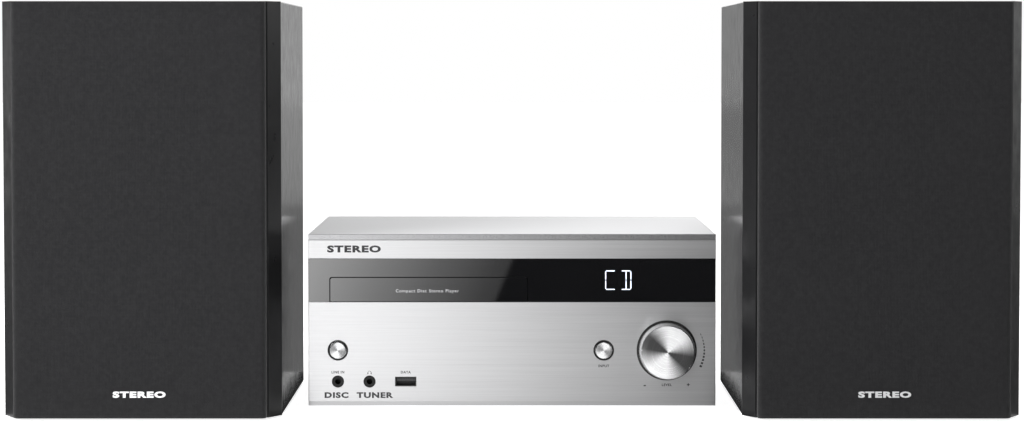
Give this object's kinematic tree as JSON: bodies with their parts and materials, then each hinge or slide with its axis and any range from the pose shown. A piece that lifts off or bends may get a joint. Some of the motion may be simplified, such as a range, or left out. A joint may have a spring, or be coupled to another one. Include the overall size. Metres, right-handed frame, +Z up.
{
  "type": "mini hifi system",
  "caption": "Desktop hifi: a brushed-metal disc receiver with a sliding tray and volume knob between gloss black bookshelf speakers with cloth grilles.",
  "frame": {"origin": "centre of the whole set's footprint, on the surface that the feet and pads stand on", "axes": "+X to the right seen from the front, +Y towards the back, +Z up; the fronts face -Y"},
  "size_m": [0.641, 0.307, 0.2625],
  "materials": {
    "brushed_fascia": "fine horizontal brushing",
    "silver_buttons": "satin",
    "spun_knob": "spun face, polished side",
    "silver_cover": "satin silver paint",
    "dark_ring": "gloss",
    "window_black": "high gloss, smoked",
    "moulded_black": "moulded",
    "gear_plastic": "natural acetal",
    "sled_plastic": "moulded",
    "zinc_steel": "zinc plated sheet",
    "back_black": "fine black powder coat",
    "screw_steel": "plated",
    "foot_rubber": "matte",
    "usb_shell": "nickel",
    "circuit_board": "solder mask",
    "display_glass": "dark glass",
    "cap_red": "gloss",
    "cap_black": "gloss",
    "speaker_lacquer": "black piano lacquer on board",
    "grille_plastic": "moulded",
    "grille_fabric": "woven cloth",
    "driver_metal": "black",
    "cone_paper": "coated paper",
    "surround_rubber": "satin",
    "port_plastic": "moulded",
    "terminal_plastic": "moulded",
    "pad_rubber": "matte",
    "driver_screws": "black oxide"
  },
  "bodies": {
    "receiver": {"fascia_panel": "brushed_fascia", "fascia_header": "brushed_fascia", "top_cover": "silver_cover", "knob_ring": "dark_ring", "display_window": "window_black", "fascia_carrier": "moulded_black", "loader_frame": "moulded_black", "front_sockets": "moulded_black", "rear_sockets": "moulded_black", "mains_inlet": "moulded_black", "speaker_terminals": "moulded_black", "chassis_pan": "zinc_steel", "back_panel": "back_black", "case_screws": "screw_steel", "receiver_feet": "foot_rubber", "usb_socket": "usb_shell", "main_board": "circuit_board", "power_supply": "circuit_board", "front_board": "circuit_board", "display_module": "display_glass"},
    "tray": {"disc_tray": "moulded_black", "tray_door": "window_black"},
    "loading_gear": {"loading_gear": "gear_plastic"},
    "turntable": {"turntable": "sled_plastic"},
    "pickup": {"pickup_sled": "sled_plastic"},
    "volume_knob": {"volume_knob": "spun_knob"},
    "power_button": {"power_button": "silver_buttons"},
    "source_button": {"source_button": "silver_buttons"},
    "receiver_cap_right_black": {"receiver_cap_right_black": "cap_black"},
    "receiver_cap_right_red": {"receiver_cap_right_red": "cap_red"},
    "receiver_cap_left_black": {"receiver_cap_left_black": "cap_black"},
    "receiver_cap_left_red": {"receiver_cap_left_red": "cap_red"},
    "left_speaker": {"left_speaker_cabinet": "speaker_lacquer", "left_baffle": "speaker_lacquer", "left_woofer_frame": "driver_metal", "left_tweeter": "driver_metal", "left_port_tube": "port_plastic", "left_terminal_plate": "terminal_plastic", "left_speaker_feet": "pad_rubber", "left_speaker_screws": "driver_screws"},
    "left_grille": {"left_grille_frame": "grille_plastic", "left_grille_cloth": "grille_fabric"},
    "left_woofer_cone": {"left_woofer_cone": "cone_paper", "left_woofer_surround": "surround_rubber"},
    "left_cap_red": {"left_terminal_cap_red": "cap_red"},
    "left_cap_black": {"left_terminal_cap_black": "cap_black"},
    "right_speaker": {"right_speaker_cabinet": "speaker_lacquer", "right_baffle": "speaker_lacquer", "right_woofer_frame": "driver_metal", "right_tweeter": "driver_metal", "right_port_tube": "port_plastic", "right_terminal_plate": "terminal_plastic", "right_speaker_feet": "pad_rubber", "right_speaker_screws": "driver_screws"},
    "right_grille": {"right_grille_frame": "grille_plastic", "right_grille_cloth": "grille_fabric"},
    "right_woofer_cone": {"right_woofer_cone": "cone_paper", "right_woofer_surround": "surround_rubber"},
    "right_cap_red": {"right_terminal_cap_red": "cap_red"},
    "right_cap_black": {"right_terminal_cap_black": "cap_black"}
  },
  "joints": [
    {"name": "tray_slide", "type": "slide", "parent": "receiver", "child": "tray", "axis": [0, -1, 0], "range_m": [0, 0.136]},
    {"name": "loading_gear_spin", "type": "hinge", "parent": "receiver", "child": "loading_gear", "pos_m": [-0.0191, -0.0845, 0.0728], "axis": [0, 0, 1], "range_deg": [-800, 0]},
    {"name": "turntable_spin", "type": "hinge", "parent": "receiver", "child": "turntable", "pos_m": [-0.0531, -0.0325, 0.0753], "axis": [0, 0, 1], "continuous": true},
    {"name": "pickup_slide", "type": "slide", "parent": "receiver", "child": "pickup", "axis": [0, 1, 0], "range_m": [0, 0.036]},
    {"name": "volume_turn", "type": "hinge", "parent": "receiver", "child": "volume_knob", "pos_m": [0.0988, -0.1065, 0.0406], "axis": [0, -1, 0], "continuous": true},
    {"name": "power_press", "type": "slide", "parent": "receiver", "child": "power_button", "axis": [0, 1, 0], "range_m": [0, 0.0012], "stiffness_N_per_m": 900},
    {"name": "source_press", "type": "slide", "parent": "receiver", "child": "source_button", "axis": [0, 1, 0], "range_m": [0, 0.0012], "stiffness_N_per_m": 900},
    {"name": "receiver_cap_right_black_turn", "type": "hinge", "parent": "receiver", "child": "receiver_cap_right_black", "pos_m": [0.056, 0.1385, 0.033], "axis": [0, 1, 0], "range_deg": [0, 1080]},
    {"name": "receiver_cap_right_red_turn", "type": "hinge", "parent": "receiver", "child": "receiver_cap_right_red", "pos_m": [0.08, 0.1385, 0.033], "axis": [0, 1, 0], "range_deg": [0, 1080]},
    {"name": "receiver_cap_left_black_turn", "type": "hinge", "parent": "receiver", "child": "receiver_cap_left_black", "pos_m": [0.056, 0.1385, 0.053], "axis": [0, 1, 0], "range_deg": [0, 1080]},
    {"name": "receiver_cap_left_red_turn", "type": "hinge", "parent": "receiver", "child": "receiver_cap_left_red", "pos_m": [0.08, 0.1385, 0.053], "axis": [0, 1, 0], "range_deg": [0, 1080]},
    {"name": "left_speaker_place", "type": "slide", "parent": "receiver", "child": "left_speaker", "axis": [-1, 0, 0], "range_m": [0, 0.3]},
    {"name": "left_grille_pull", "type": "slide", "parent": "left_speaker", "child": "left_grille", "axis": [0, -1, 0], "range_m": [0, 0.06]},
    {"name": "left_cone_stroke", "type": "slide", "parent": "left_speaker", "child": "left_woofer_cone", "axis": [0, -1, 0], "range_m": [-0.003, 0.003], "stiffness_N_per_m": 1500, "deforming": ["left_woofer_surround"]},
    {"name": "left_cap_red_turn", "type": "hinge", "parent": "left_speaker", "child": "left_cap_red", "pos_m": [-0.248, 0.1015, 0.07], "axis": [0, 1, 0], "range_deg": [0, 1080]},
    {"name": "left_cap_black_turn", "type": "hinge", "parent": "left_speaker", "child": "left_cap_black", "pos_m": [-0.218, 0.1015, 0.07], "axis": [0, 1, 0], "range_deg": [0, 1080]},
    {"name": "right_speaker_place", "type": "slide", "parent": "receiver", "child": "right_speaker", "axis": [1, 0, 0], "range_m": [0, 0.3]},
    {"name": "right_grille_pull", "type": "slide", "parent": "right_speaker", "child": "right_grille", "axis": [0, -1, 0], "range_m": [0, 0.06]},
    {"name": "right_cone_stroke", "type": "slide", "parent": "right_speaker", "child": "right_woofer_cone", "axis": [0, -1, 0], "range_m": [-0.003, 0.003], "stiffness_N_per_m": 1500, "deforming": ["right_woofer_surround"]},
    {"name": "right_cap_red_turn", "type": "hinge", "parent": "right_speaker", "child": "right_cap_red", "pos_m": [0.218, 0.1015, 0.07], "axis": [0, 1, 0], "range_deg": [0, 1080]},
    {"name": "right_cap_black_turn", "type": "hinge", "parent": "right_speaker", "child": "right_cap_black", "pos_m": [0.248, 0.1015, 0.07], "axis": [0, 1, 0], "range_deg": [0, 1080]}
  ],
  "couplings": [
    {"joint": "loading_gear_spin", "follows": "tray_slide", "rad_per_m": -100}
  ]
}
